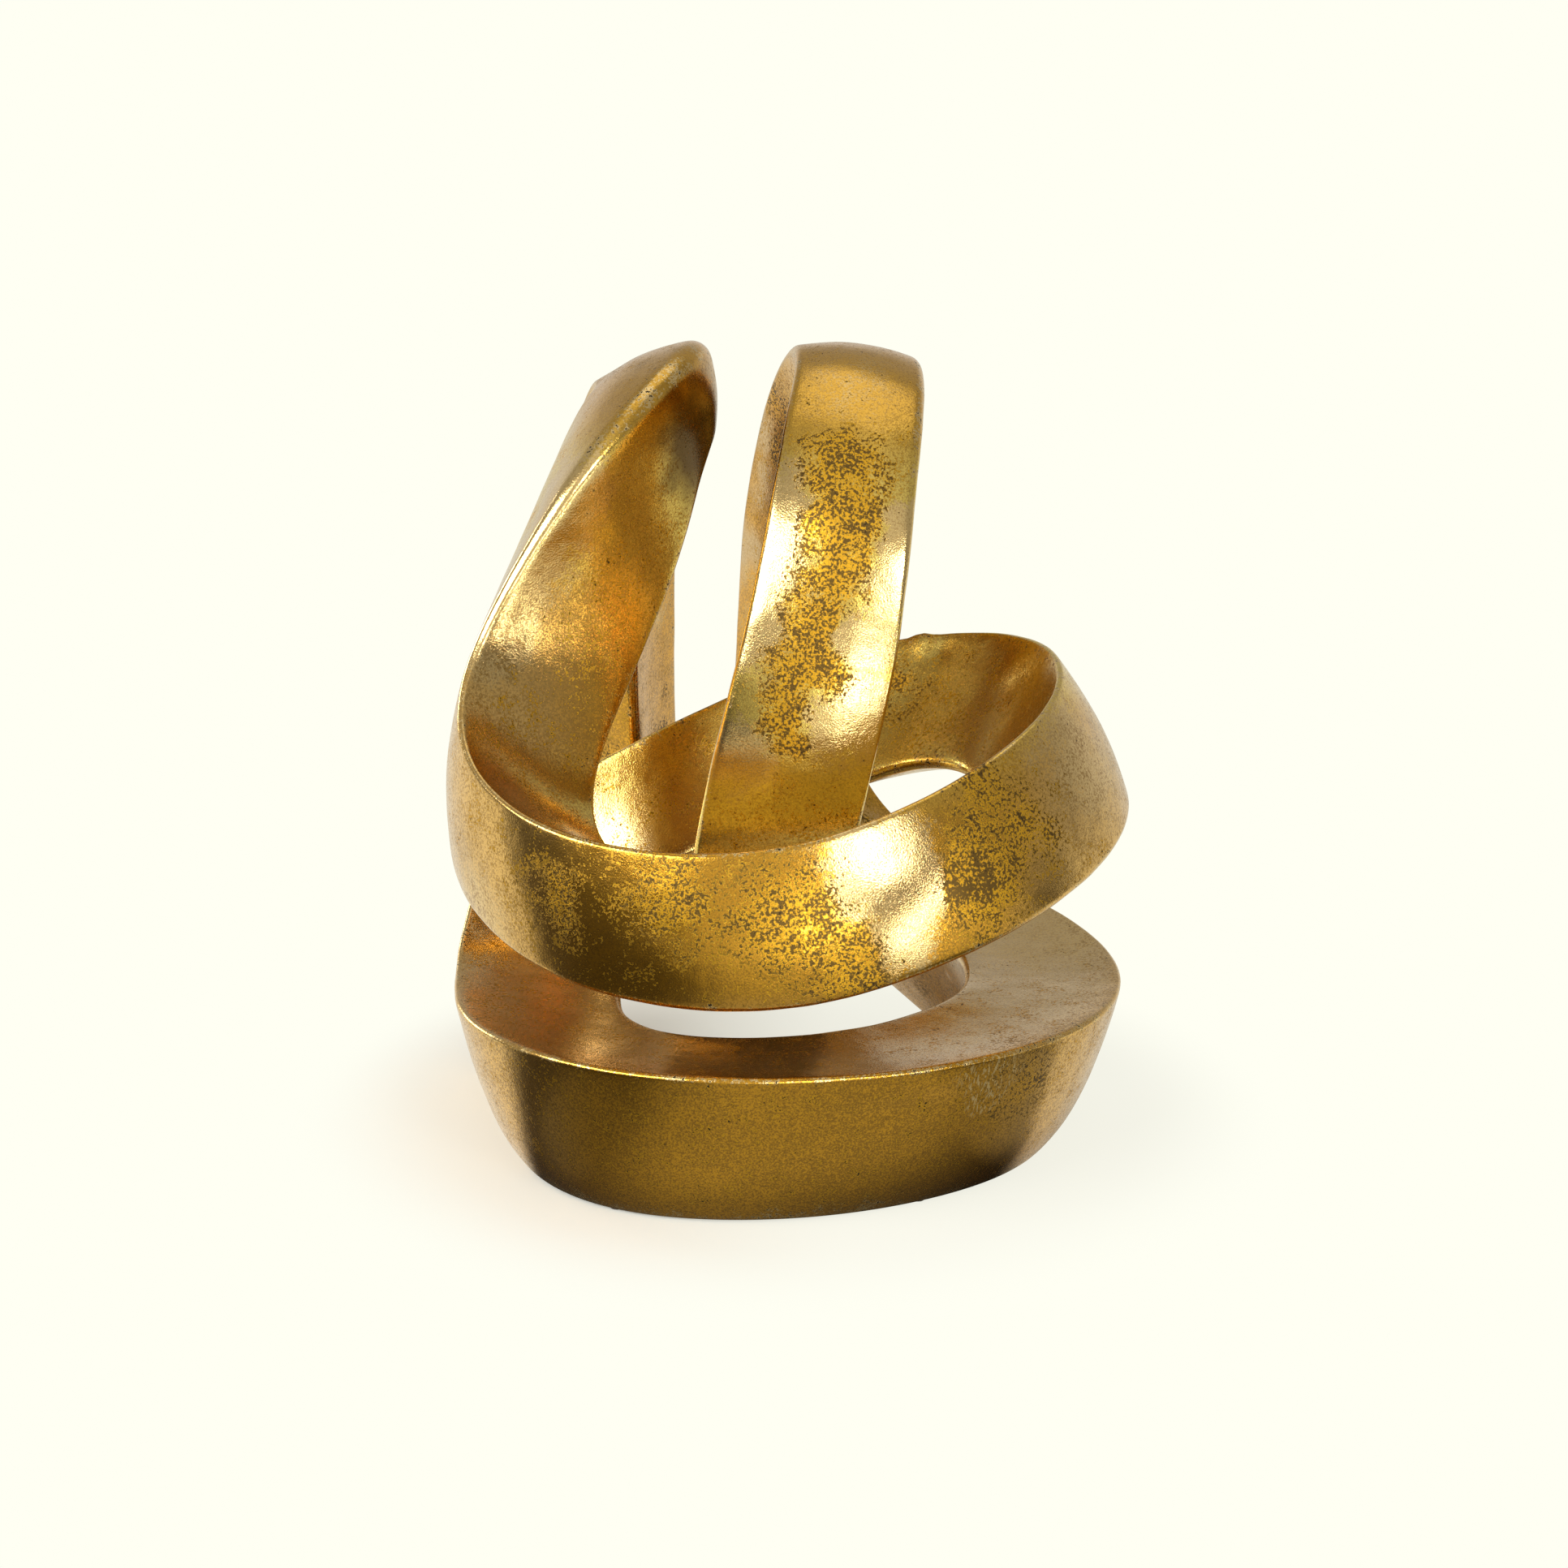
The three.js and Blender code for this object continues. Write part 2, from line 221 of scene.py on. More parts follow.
leafLook = {
    "colours": {
        # inner: the paler gold painted on the inner faces as painted light
        "amber": (0.72, 0.365, 0.032, 1), "inner": (0.86, 0.62, 0.14, 1), "taupe": (0.60, 0.45, 0.25, 1),
        "glaze": (0.34, 0.175, 0.026, 1), "champagne": (0.80, 0.57, 0.24, 1),
        "yellow": (0.82, 0.44, 0.028, 1), "brown": (0.150, 0.085, 0.018, 1),
        "patina": (0.050, 0.032, 0.012, 1), "smudge": (0.12, 0.066, 0.012, 1),
    },
    "grains": {          # size, detail and roughness
        "cloud": (0.045, 3.0, 0.55), "flake": (0.0075, 5.0, 0.62), "speck": (0.0010, 2.0, 0.55),
        "worm": (0.0010, 3.5, 0.65), "dust": (0.0006, 2.0, 0.6), "hand": (0.013, 2.0, 0.5),
    },
    "warpSize": 0.016, "warpDetail": 3.0, "warp": 0.012, "hairAcross": 0.0007, "hairAlong": 0.014,
    "handDepth": 0.00035, "dustDepth": 0.00006, "dustBrown": 0.6,
    "roughness": {
        "plain": 0.19, "dust": 0.16, "burnished": -0.06, "rubbed": 0.14, "glazed": 0.05, "polished": -0.03,
    },
    "coat": 0.16, "coatRoughness": 0.15, "metalLost": 0.15,
    "edges": {          # where each mask starts and where it is full
        "behind": (0.0, 0.06), "cloudRubbed": (0.50, 0.78), "cloudShine": (0.52, 0.80),
        "rubbed": (0.16, 0.30), "burnished": (0.08, 0.40), "outside": (0.094, 0.108),
        "foot": (0.045, 0.065), "rear": (0.050, 0.075), "amber": (0.0, 0.6), "low": (0.050, 0.075),
        "crown": (0.225, 0.250), "topFrom": (0.040, 0.048), "topTo": (0.070, 0.085),
        "topRim": (0.108, 0.118), "dulled": (0.0, 0.5), "polished": (0.0, 0.5), "glazed": (0.455, 0.585),
        "besides": (0.060, 0.095), "flecked": (0.47, 0.60), "hairlines": (0.54, 0.60),
        "scratched": (0.1, 0.5), "chipped": (0.655, 0.72), "browned": (0.53, 0.58), "patchy": (0.02, 0.22),
        "spots": (0.655, 0.675), "dustDark": (0.44, 0.68), "dustPale": (0.50, 0.66), "smudged": (0.0, 0.8),
    },
    "shares": {          # how much each part of a mask counts
        "cloudRubbed": 0.6, "cloudShine": 0.30, "speckRagged": 1.7, "flakeRagged": 1.3, "shineKept": 0.4,
        "raggedShine": 0.6, "flakeMottle": 0.30, "speckMottle": 0.45, "dustMottle": 0.25,
        "outwardGlaze": 0.03, "cloudGlaze": 0.20, "flakeFlecks": 0.5, "rimChips": 0.16, "grainChips": 0.5,
        "patchBrown": 0.09, "flakeBrown": 0.35, "brownAnywhere": 0.25, "brownPatches": 0.75,
        "rimSpots": 0.03, "rubbedSpots": 0.05, "crown": 0.8, "dulled": 0.8, "glaze": 0.50,
        "glazeOutward": 0.25, "glazeDulled": 0.6, "besides": 0.55, "burnished": 0.9, "flecked": 0.75,
        "dust": 0.45, "dustLow": 0.35, "dustDulled": 0.5, "dustPale": 0.45,
    },
    "rubbedPlaces": [          # middle, reach and strength, as in the lists that follow
        ((0.018, -0.020, 0.233), 0.019, 1.0), ((0.017, -0.028, 0.216), 0.019, 1.0),
        ((0.015, -0.032, 0.199), 0.018, 1.0), ((0.010, -0.036, 0.183), 0.017, 1.0),
        ((0.003, -0.039, 0.168), 0.019, 1.0), ((-0.001, -0.040, 0.153), 0.015, 0.9),
        ((-0.035, -0.106, 0.111), 0.022, 0.6), ((0.000, -0.109, 0.106), 0.028, 0.7),
        ((0.018, -0.109, 0.092), 0.022, 0.6), ((0.063, -0.094, 0.114), 0.022, 0.9),
        ((0.075, -0.080, 0.128), 0.022, 0.6), ((0.060, -0.085, 0.139), 0.020, 0.6),
        ((0.076, -0.087, 0.041), 0.020, 0.5), ((-0.075, -0.090, 0.105), 0.022, 0.4),
        ((0.060, -0.096, 0.115), 0.013, 2.2),
    ],
    # places where the leaf is burnished and paler as painted highlight
    "burnishedPlaces": [
        ((-0.004, -0.024, 0.224), 0.018, 1.0), ((-0.006, -0.032, 0.203), 0.020, 1.0),
        ((-0.009, -0.037, 0.180), 0.018, 1.0), ((0.039, -0.031, 0.212), 0.016, 1.0),
        ((0.037, -0.035, 0.197), 0.016, 1.0), ((0.026, -0.041, 0.177), 0.016, 1.0),
        ((0.021, -0.043, 0.150), 0.018, 1.0), ((-0.018, -0.040, 0.140), 0.018, 1.0),
        ((0.026, -0.104, 0.124), 0.024, 1.0), ((0.041, -0.105, 0.110), 0.018, 1.0),
        ((0.036, -0.108, 0.098), 0.014, 1.0), ((-0.089, -0.020, 0.198), 0.024, 1.0),
        ((-0.099, -0.026, 0.178), 0.022, 1.0), ((-0.074, -0.012, 0.222), 0.024, 1.0),
        ((0.098, -0.050, 0.140), 0.030, 0.7), ((0.020, 0.005, 0.258), 0.028, 0.2),
        ((0.095, 0.020, 0.050), 0.045, 0.7), ((-0.098, -0.055, 0.090), 0.032, 0.7),
    ],
    "scratchedPlaces": [((0.066, -0.097, 0.047), 0.014, 1.0), ((0.028, -0.104, 0.123), 0.022, 0.8)],
    # places kept amber, without the painted inner light
    "amberPlaces": [((-0.080, -0.020, 0.158), 0.046, 1.0)],
    # places of taupe painted reflection, besides the base top
    "dulledPlaces": [
        ((-0.016, 0.084, 0.206), 0.020, 0.8), ((-0.016, 0.082, 0.228), 0.020, 0.8),
        ((-0.020, 0.098, 0.182), 0.018, 0.8), ((0.004, -0.010, 0.190), 0.027, 1.0),
        ((0.002, -0.010, 0.165), 0.027, 1.0), ((-0.060, 0.020, 0.085), 0.045, 0.6),
        ((-0.098, 0.050, 0.085), 0.050, 1.0),
    ],
    "polishedPlaces": [((0.041, -0.105, 0.106), 0.022, 1.0)],
    # places of painted shade: dark brown on the inner side of the left loop's crown
    "smudgedPlaces": [((-0.032, 0.024, 0.234), 0.034, 1.1), ((-0.050, 0.028, 0.205), 0.018, 0.6)],
}
colours, edges, shares = leafLook["colours"], leafLook["edges"], leafLook["shares"]
goldLeaf, leafTree, leafShader = newMaterial("goldLeaf")
place = objectPlace(leafTree)
cloud = place.grain(*leafLook["grains"]["cloud"])
flake = place.grain(*leafLook["grains"]["flake"])
speck = place.grain(*leafLook["grains"]["speck"])
worm = place.grain(*leafLook["grains"]["worm"])
dust = place.grain(*leafLook["grains"]["dust"])
hand = place.grain(*leafLook["grains"]["hand"])
rim = addNode(leafTree, "ShaderNodeAttribute", {"attribute_name": "rim"}, {}, out="Fac")
swirled = place.swirled(leafLook["warpSize"], leafLook["warpDetail"], leafLook["warp"])


def nearness(places):     # full at the middle of the nearest place, nought from its reach outwards
    nearest = None
    for middle, reach, strength in leafLook[places]:
        near = (1.0 - swirled.awayFrom(middle) / reach) * strength
        nearest = near if nearest is None else nearest.larger(near)
    return nearest.larger(0.0)


aside, depth, upper = place.part(0), place.part(1), place.part(2)
fromMiddle = place.scaled((1.0, 1.0, 0.0)).awayFrom((0.0, 0.0, 0.0))
behind = depth.rise(*edges["behind"])
patch = nearness("rubbedPlaces").larger(cloud.rise(*edges["cloudRubbed"]) * behind * shares["cloudRubbed"])
shineBehind = (1.0 - cloud).rise(*edges["cloudShine"]) * behind * shares["cloudShine"]
shine = nearness("burnishedPlaces").larger(shineBehind)
ragged = (speck - halfway) * shares["speckRagged"] + (flake - halfway) * shares["flakeRagged"]
rubbed = (patch - shine * shares["shineKept"] + ragged).rise(*edges["rubbed"])
# Burnished leaf that is also painted highlight: paler champagne and lower roughness where the highlights
# fall
burnished = (shine + ragged * shares["raggedShine"]).rise(*edges["burnished"])
outward = fromMiddle.rise(*edges["outside"]).larger(1.0 - upper.rise(*edges["foot"]))
outward = outward.larger(depth.rise(*edges["rear"])).larger(nearness("amberPlaces").rise(*edges["amber"]))
low = 1.0 - upper.rise(*edges["low"])
# the top face of the base ring, which gets taupe painted reflection
onTop = upper.rise(*edges["topFrom"]) * (1.0 - upper.rise(*edges["topTo"]))
onTop = onTop * (1.0 - fromMiddle.rise(*edges["topRim"]))
# Painted reflection: taupe on the base top and at the listed places stands in for the dull tones the gold
# reflects there; less glaze and dust go over it
dulled = onTop.larger(nearness("dulledPlaces").rise(*edges["dulled"]))
polished = nearness("polishedPlaces").rise(*edges["polished"])
mottle = flake * shares["flakeMottle"] + speck * shares["speckMottle"] + dust * shares["dustMottle"]
glazed = mottle + outward * shares["outwardGlaze"] + (cloud - halfway) * shares["cloudGlaze"]
glazed = glazed.rise(*edges["glazed"])
besides = aside.maths("ABSOLUTE", aside).rise(*edges["besides"]) * outward
flecked = (worm + (flake - halfway) * shares["flakeFlecks"]).rise(*edges["flecked"]) * besides
hairlines = place.drawnOut(leafLook["hairAcross"], leafLook["hairAlong"]).rise(*edges["hairlines"])
scratched = hairlines * nearness("scratchedPlaces").rise(*edges["scratched"])
# Paler champagne along the sharp rims is painted rim highlight, broken by the grain into chips of edge
# wear
chipped = rim * shares["rimChips"] + flake * shares["grainChips"] + speck * shares["grainChips"]
chipped = chipped.rise(*edges["chipped"])
browned = worm + patch * shares["patchBrown"] + (flake - halfway) * shares["flakeBrown"]
browned = browned.rise(*edges["browned"]) * rubbed
browned = browned * (shares["brownAnywhere"] + patch.rise(*edges["patchy"]) * shares["brownPatches"])
spots = (mottle + rim * shares["rimSpots"] + rubbed * shares["rubbedSpots"]).rise(*edges["spots"])
# Painted shade: dark brown on the inner side of the left loop's crown
smudged = nearness("smudgedPlaces").rise(*edges["smudged"])
glazeShare = (shares["glaze"] + outward * shares["glazeOutward"]) * (1.0 - dulled * shares["glazeDulled"])
dustShare = (shares["dust"] + low * shares["dustLow"]) * (1.0 - dulled * shares["dustDulled"])
paleDust = (1.0 - dust).rise(*edges["dustPale"]) * low * shares["dustPale"]
# Painted light: faces inside the knot get the paler inner gold in place of light; outer faces, base, back,
# crown tops and the amber places keep amber
crowned = outward.larger(upper.rise(*edges["crown"]) * shares["crown"])
leafColour = crowned.blended(colours["inner"], colours["amber"])
# Some of these layers are painted light: the taupe painted reflection, the burnished painted highlight,
# the crown's painted shade and the rims' painted highlight
layers = [          # from the first coat to the last
    (dulled * shares["dulled"], "taupe"), (glazed * glazeShare, "glaze"),
    (besides * shares["besides"], "champagne"), (burnished * shares["burnished"], "champagne"),
    (flecked * shares["flecked"], "glaze"), (rubbed, "yellow"),
    (dust.rise(*edges["dustDark"]) * dustShare, "glaze"), (paleDust, "yellow"), (smudged, "smudge"),
    (chipped.larger(scratched), "champagne"), (browned, "brown"), (spots, "patina"),
]
for mask, colour in layers:
    leafColour = mask.blended(leafColour, colours[colour])
dullness = leafLook["roughness"]["plain"] + (dust - halfway) * leafLook["roughness"]["dust"]
dullMasks = {"burnished": burnished, "rubbed": rubbed, "glazed": glazed, "polished": polished}
for name, mask in dullMasks.items():
    dullness = dullness + mask * leafLook["roughness"][name]
handBump = addNode(leafTree, "ShaderNodeBump", {}, {
    "Height": (hand - halfway) * (1.0 - polished), "Distance": leafLook["handDepth"], "Strength": 1.0})
dustBump = addNode(leafTree, "ShaderNodeBump", {}, {
    "Height": dust - browned * leafLook["dustBrown"], "Distance": leafLook["dustDepth"], "Strength": 1.0,
    "Normal": handBump})
feed(leafTree, leafShader.inputs["Base Color"], leafColour)
feed(leafTree, leafShader.inputs["Metallic"], 1.0 - spots.larger(browned) * leafLook["metalLost"])
feed(leafTree, leafShader.inputs["Roughness"], dullness)
feed(leafTree, leafShader.inputs["Coat Weight"], leafLook["coat"] * (1.0 - rubbed))
leafShader.inputs["Coat Roughness"].default_value = leafLook["coatRoughness"]
feed(leafTree, leafShader.inputs["Normal"], dustBump)
print("gold leaf made")


# Drawn steel of the dowels

steelLook = {
    "bright": (0.56, 0.57, 0.58, 1), "dull": (0.38, 0.38, 0.39, 1), "lines": (0.0012, 4.0, 0.7),
    "dullEdge": (0.4, 0.7), "roughness": 0.30, "lineRoughness": 0.3,
}
drawnSteel, steelTree, steelShader = newMaterial("drawnSteel")
drawn = objectPlace(steelTree).grain(*steelLook["lines"])
feed(steelTree, steelShader.inputs["Base Color"],
     drawn.rise(*steelLook["dullEdge"]).blended(steelLook["bright"], steelLook["dull"]))
feed(steelTree, steelShader.inputs["Roughness"],
     steelLook["roughness"] + (drawn - halfway) * steelLook["lineRoughness"])
steelShader.inputs["Metallic"].default_value = 1.0
for node in frame["nodes"]:
    if node.startswith("dowel"):
        frame["nodes"][node].data.materials.clear()
        frame["nodes"][node].data.materials.append(drawnSteel)


# Pressed felt of the dots

feltLook = {
    "dark": (0.085, 0.065, 0.050, 1), "fleck": (0.18, 0.15, 0.12, 1), "fibres": (0.0005, 5.0, 0.75),
    "fleckEdge": (0.42, 0.70), "depth": 0.00012, "roughness": 0.95,
}
pressedFelt, feltTree, feltShader = newMaterial("pressedFelt")
fibres = objectPlace(feltTree).grain(*feltLook["fibres"])
fibreBump = addNode(feltTree, "ShaderNodeBump", {},
                    {"Height": fibres, "Distance": feltLook["depth"], "Strength": 1.0})
feed(feltTree, feltShader.inputs["Base Color"],
     fibres.rise(*feltLook["fleckEdge"]).blended(feltLook["dark"], feltLook["fleck"]))
feltShader.inputs["Roughness"].default_value = feltLook["roughness"]
feed(feltTree, feltShader.inputs["Normal"], fibreBump)
print("steel and felt made")


# The endless band, from the seven castings

bandSizes = {
    "loose": 0.00002, "gap": 0.00036, "endBand": 0.0004, "endReach": 0.07,
    "socketReach": 0.0038, "socketDepth": 0.0225, "quadAngle": 70, "levels": 2,
    "rimFrom": 0.22, "rimSpan": 0.25,          # angles in radians
    "waver": 0.0005, "waverSize": 0.022, "waverDepth": 1, "stillBelow": 0.004, "freeAbove": 0.022,
    "socketRoom": 0.00015, "socketEnd": 0.0005, "socketSides": 24,
    "normalKept": 0.5, "wallFacing": 0.6,
    "seamMarks": [          # name, middle, reach and lift of the step in the rim at the back right seam
        ("hump", (0.0475, 0.0480, 0.1570), 0.0055, 0.0015),
        ("dip", (0.0540, 0.0420, 0.1565), 0.0045, -0.0009),
    ],
}
castings = {
    "base_section": "baseLeafed", "climb_section": "climbLeafed", "ring_section": "ringLeafed",
    "left_loop": "leftLoopLeafed", "hook_section": "hookLeafed", "right_loop": "rightLoopLeafed",
    "ramp_section": "rampLeafed",
}


def lineDistances(points, middle, axis):     # how far along a line from its middle, and how far off it
    along = (points - middle) @ axis
    off = np.linalg.norm(points - middle - np.outer(along, axis), axis=1)
    return np.abs(along), off


def dowelLine(node):      # middle, direction, radius and half length of a dowel
    points = pointsOf(frame["nodes"][node].data)
    middle = points.mean(axis=0)
    axis = np.linalg.svd(points - middle)[2][0]
    along, off = lineDistances(points, middle, axis)
    return middle, axis, off.max(), along.max()


dowelLines = [dowelLine(node) for node in sorted(frame["nodes"]) if node.startswith("dowel")]


def openEnds(piece):      # takes off the seam faces and the dowel sockets, and leaves the wall
    editing(piece)
    bpy.ops.mesh.select_all(action="SELECT")
    bpy.ops.mesh.remove_doubles(threshold=bandSizes["loose"])
    bpy.ops.mesh.select_all(action="DESELECT")
    finished()
    points = pointsOf(piece.data)
    inEnd = np.zeros(len(points), dtype=bool)
    inSocket = np.zeros(len(points), dtype=bool)
    for line in dowelLines:
        along, off = lineDistances(points, *line[:2])
        inEnd |= (along < bandSizes["endBand"]) & (off < bandSizes["endReach"])
        inSocket |= (along < bandSizes["socketDepth"]) & (off < bandSizes["socketReach"])
    for face in piece.data.polygons:
        corners = list(face.vertices)
        face.select = bool(inEnd[corners].all() or inSocket[corners].all())
    editing(piece)
    bpy.ops.mesh.delete(type="FACE")
    bpy.ops.mesh.select_all(action="SELECT")
    bpy.ops.mesh.delete_loose()
    finished()


markerStart = "marker_"
walls = []
for node in castings:
    wall = copyOf(node, "wall_" + node)
    wall.data.materials.append(bpy.data.materials.new(markerStart + node))
    openEnds(wall)
    walls.append(wall)
only(walls[0])
for wall in walls:
    wall.select_set(True)
bpy.ops.object.join()
band = bpy.context.view_layer.objects.active
editing(band, "VERT")
bpy.ops.mesh.select_all(action="SELECT")
bpy.ops.mesh.remove_doubles(threshold=bandSizes["gap"])
quadAngle = math.radians(bandSizes["quadAngle"])
bpy.ops.mesh.tris_convert_to_quads(face_threshold=quadAngle, shape_threshold=quadAngle)
bpy.ops.mesh.normals_make_consistent(inside=False)
finished()
print("band joined:", len(band.data.vertices), "points,", len(band.data.polygons), "faces")

cage = bmesh.new()
cage.from_mesh(band.data)
rimLayer = cage.verts.layers.float.new("rim")
openEdges = sum(edge.is_boundary for edge in cage.edges)
for corner in cage.verts:
    sharpest = max(edge.calc_face_angle(0.0) for edge in corner.link_edges)
    corner[rimLayer] = min(1.0, max(0.0, (sharpest - bandSizes["rimFrom"]) / bandSizes["rimSpan"]))
cage.to_mesh(band.data)
cage.free()
print("open edges on the band:", openEdges)

applied(band, "SUBSURF", levels=bandSizes["levels"], render_levels=bandSizes["levels"])
free = band.vertex_groups.new(name="free")
for spot, point in enumerate(pointsOf(band.data)):
    lift = (point[2] - bandSizes["stillBelow"]) / (bandSizes["freeAbove"] - bandSizes["stillBelow"])
    free.add([spot], min(1.0, max(0.0, lift)), "REPLACE")
waver = bpy.data.textures.new("waver", type="CLOUDS")
waver.noise_scale = bandSizes["waverSize"]
waver.noise_depth = bandSizes["waverDepth"]
applied(band, "DISPLACE", texture=waver, texture_coords="LOCAL", strength=bandSizes["waver"],
        mid_level=0.5, vertex_group="free")
for name, middle, reach, lift in bandSizes["seamMarks"]:
    group = band.vertex_groups.new(name=name)
    away = np.linalg.norm(pointsOf(band.data) - np.array(middle), axis=1)
    for spot in np.flatnonzero(away < reach):
        group.add([int(spot)], float(1 - (away[spot] / reach) ** 2), "REPLACE")
    applied(band, "DISPLACE", direction="Z", strength=lift, mid_level=0.0, vertex_group=name)
band.vertex_groups.clear()
keptNormals = band.data.attributes.new("wholeNormal", "FLOAT_VECTOR", "POINT")
keptNormals.data.foreach_set("vector", rowsOf(band.data.vertex_normals, "vector").ravel())
print("band smoothed:", len(band.data.polygons), "faces")

editing(band)
bpy.ops.mesh.select_all(action="SELECT")
bpy.ops.mesh.separate(type="MATERIAL")
finished()
parted = {}
for made in list(bpy.context.scene.objects):
    if made.type == "MESH" and len(made.data.materials) and made.data.materials[0]:
        title = made.data.materials[made.data.polygons[0].material_index].name
        if title.startswith(markerStart):
            parted[title[len(markerStart):]] = made


# Sockets and seam faces of each casting

cutter = None
for middle, axis, reach, half in dowelLines:
    bpy.ops.object.select_all(action="DESELECT")
    bpy.ops.mesh.primitive_cylinder_add(
        vertices=bandSizes["socketSides"], radius=reach + bandSizes["socketRoom"],
        depth=2 * (half + bandSizes["socketEnd"]), location=Vector(middle),
        rotation=Vector(axis).to_track_quat("Z", "Y").to_euler())
    added = bpy.context.view_layer.objects.active
    if cutter is None:
        cutter = added
    else:
        cutter.select_set(True)
        bpy.context.view_layer.objects.active = cutter
        bpy.ops.object.join()

for node, name in castings.items():
    piece = parted[node]
    piece.name = name
    piece.data.name = name
    piece.data.materials.clear()
    piece.data.materials.append(goldLeaf)
    editing(piece, "EDGE")
    bpy.ops.mesh.select_all(action="DESELECT")
    bpy.ops.mesh.select_non_manifold()
    bpy.ops.mesh.fill_holes(sides=0)
    bpy.ops.mesh.select_all(action="SELECT")
    bpy.ops.mesh.normals_make_consistent(inside=False)
    finished()
    applied(piece, "BOOLEAN", operation="DIFFERENCE", object=cutter, solver="EXACT")
    mesh = piece.data
    only(piece)
    bpy.ops.object.shade_smooth()
    kept = rowsOf(mesh.attributes["wholeNormal"].data, "vector")
    lengths = np.linalg.norm(kept, axis=1)
    corners = [None] * len(mesh.loops)
    for face in mesh.polygons:
        wallLike = all(lengths[corner] > bandSizes["normalKept"] for corner in face.vertices)
        mean = kept[list(face.vertices)].mean(axis=0)
        wallLike = wallLike and float(np.dot(mean, face.normal)) > bandSizes["wallFacing"]
        for loop in face.loop_indices:
            corners[loop] = kept[mesh.loops[loop].vertex_index] if wallLike else tuple(face.normal)
    mesh.normals_split_custom_set(corners)
    mesh.attributes.remove(mesh.attributes["wholeNormal"])
    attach(piece, "root")
    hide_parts(node)
    print(name, len(mesh.polygons), "faces")
bpy.data.objects.remove(cutter)


# Felt dots

dotSizes = {
    "sides": 48, "edge": 0.00022, "edgeSteps": 3, "insetEdges": 3, "waver": 0.00008, "waverSize": 0.0012,
    "smoothAngle": 50,
}
dots = {
    "pad_right": "feltRight", "pad_front_right": "feltFrontRight", "pad_front_left": "feltFrontLeft",
    "pad_left": "feltLeft",
}
fuzz = bpy.data.textures.new("fuzz", type="CLOUDS")
fuzz.noise_scale = dotSizes["waverSize"]
for node, name in dots.items():
    dotLow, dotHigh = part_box(node)
    bpy.ops.object.select_all(action="DESELECT")
    bpy.ops.mesh.primitive_cylinder_add(
        vertices=dotSizes["sides"], radius=(dotHigh.x - dotLow.x) / 2 - dotSizes["waver"],
        depth=dotHigh.z - dotLow.z, location=(dotLow + dotHigh) / 2)
    dot = bpy.context.view_layer.objects.active
    dot.name = name
    bpy.ops.object.transform_apply(location=True, rotation=True, scale=True)
    editing(dot)
    bpy.ops.mesh.select_all(action="SELECT")
    bpy.ops.mesh.inset(thickness=dotSizes["edge"] * dotSizes["insetEdges"])
    finished()
    applied(dot, "BEVEL", width=dotSizes["edge"], segments=dotSizes["edgeSteps"], limit_method="ANGLE")
    applied(dot, "DISPLACE", texture=fuzz, texture_coords="LOCAL", strength=dotSizes["waver"],
            mid_level=1.0)
    dot.data.materials.append(pressedFelt)
    only(dot)
    bpy.ops.object.shade_smooth_by_angle(angle=math.radians(dotSizes["smoothAngle"]))
    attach(dot, "root")
    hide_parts(node)
print("felt dots made")


# Floor and surround

floorLook = {
    "half": 8.0, "cream": (1.0, 1.0, 0.895, 1), "pale": (0.82, 0.81, 0.75, 1),
    "dark": (0.06, 0.055, 0.05, 1),
    "leftShade": 0.85, "rightShade": 0.18, "shadeTurn": (-0.10, 0.03), "shadeEnd": (0.12, 0.175),
    "backFrom": (-0.068, -0.052), "backGlow": 0.60, "under": (0.07, 0.13),
    "nearGlow": 0.46, "nearLeft": (-0.12, -0.02), "nearRight": (0.095, 0.14), "nearAhead": (0.07, 0.13),
    "farGlow": 0.90, "farBearing": (0.42, -0.91), "farSpread": (0.62, 0.88), "farFrom": (0.18, 0.48),
    # spots where the floor glows in reflections though it is no lamp: painted reflections
    "cards": [          # middle, reach and strength
        ((0.29, -0.09, 0.0), 0.13, 0.85), ((-0.31, -0.62, 0.0), 0.14, 1.0),
        ((0.115, -0.095, 0.0), 0.05, 0.30), ((-0.10, -0.12, 0.0), 0.05, 0.12),
    ],
    "cardEdge": (0.0, 0.4),
}
bpy.ops.object.select_all(action="DESELECT")
bpy.ops.mesh.primitive_plane_add(size=2 * floorLook["half"])
floor = bpy.context.view_layer.objects.active
floor.name = "paleFloor"
paleFloor = bpy.data.materials.new("paleFloor")
paleFloor.use_nodes = True
floorTree = paleFloor.node_tree
floorTree.nodes.clear()
floorPlace = objectPlace(floorTree)
seen, mirrored = seenAndMirrored(floorTree)
across, along = floorPlace.part(0), floorPlace.part(1)
distance = floorPlace.awayFrom((0, 0, 0))
back = along.rise(*floorLook["backFrom"])
shadeChange = floorLook["rightShade"] - floorLook["leftShade"]
shade = floorLook["leftShade"] + across.rise(*floorLook["shadeTurn"]) * shadeChange
lit = shade * (1.0 - distance.rise(*floorLook["shadeEnd"]))
# Painted reflections: for mirrored rays the floor glows behind, far ahead, near the front and at the glow
# spots, though it is no lamp
ahead = (across * floorLook["farBearing"][0] + along * floorLook["farBearing"][1]) / distance
farOff = distance.rise(*floorLook["farFrom"]) * ahead.rise(*floorLook["farSpread"]) * floorLook["farGlow"]
nearBy = across.rise(*floorLook["nearLeft"]) * (1.0 - across.rise(*floorLook["nearRight"]))
nearBy = nearBy * (0.0 - along).rise(*floorLook["nearAhead"]) * floorLook["nearGlow"]
mirrorGlow = (back * floorLook["backGlow"]).larger(farOff).larger(nearBy)
for middle, reach, strength in floorLook["cards"]:
    glowSpot = (1.0 - floorPlace.awayFrom(middle) / reach).rise(*floorLook["cardEdge"])
    mirrorGlow = mirrorGlow.larger(glowSpot * strength)
